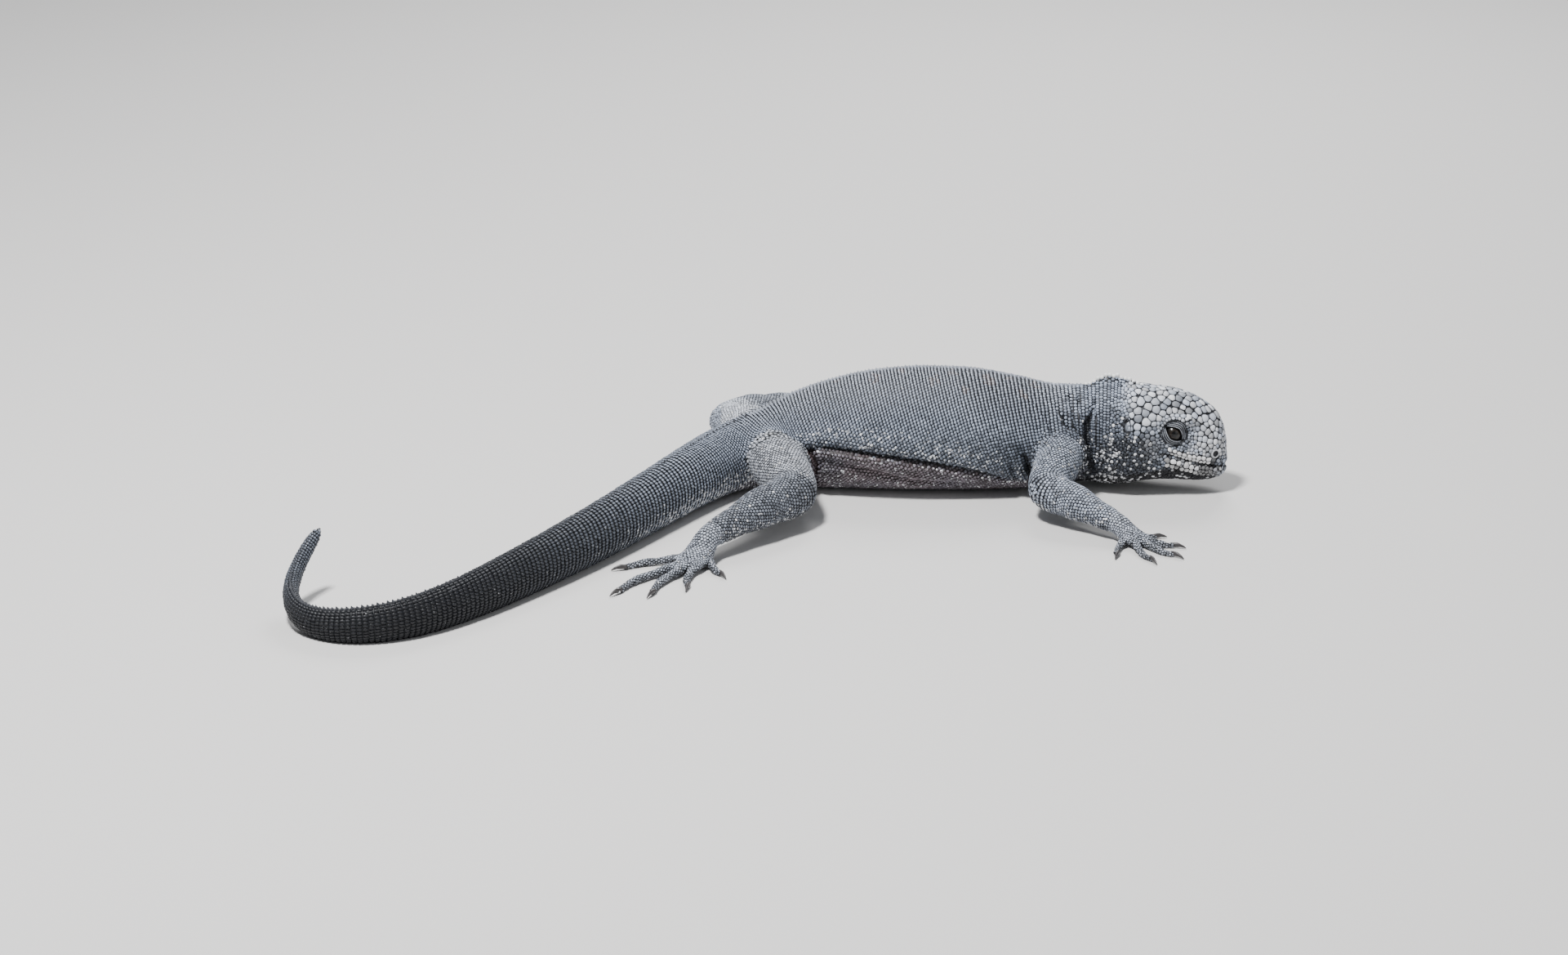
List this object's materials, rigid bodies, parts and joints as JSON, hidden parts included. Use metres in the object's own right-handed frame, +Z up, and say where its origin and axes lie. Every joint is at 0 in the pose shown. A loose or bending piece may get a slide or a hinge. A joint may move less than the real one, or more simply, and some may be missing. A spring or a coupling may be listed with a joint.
{
  "type": "marine iguana",
  "caption": "Life-size still model of a young marine iguana lying on a flat floor, head up, tail swung to its right with the tip curled up.",
  "frame": {"origin": "middle of the bounding box, on the floor that the animal lies on", "axes": "+X the way the animal faces, +Y its left side, +Z up"},
  "size_m": [0.309, 0.2486, 0.0433],
  "materials": {
    "skin": "dry scaled skin, blue grey",
    "eye": "wet gloss, near black"
  },
  "bodies": {
    "root": {"head": "skin", "neck": "skin", "torso": "skin", "tail_base": "skin", "tail_middle": "skin", "tail_end": "skin", "tail_tip": "skin", "thigh_left": "skin", "shank_left": "skin", "hind_foot_left": "skin", "upper_arm_left": "skin", "forearm_left": "skin", "fore_foot_left": "skin", "thigh_right": "skin", "shank_right": "skin", "hind_foot_right": "skin", "upper_arm_right": "skin", "forearm_right": "skin", "fore_foot_right": "skin", "eye_left": "eye", "eye_right": "eye"}
  },
  "joints": []
}
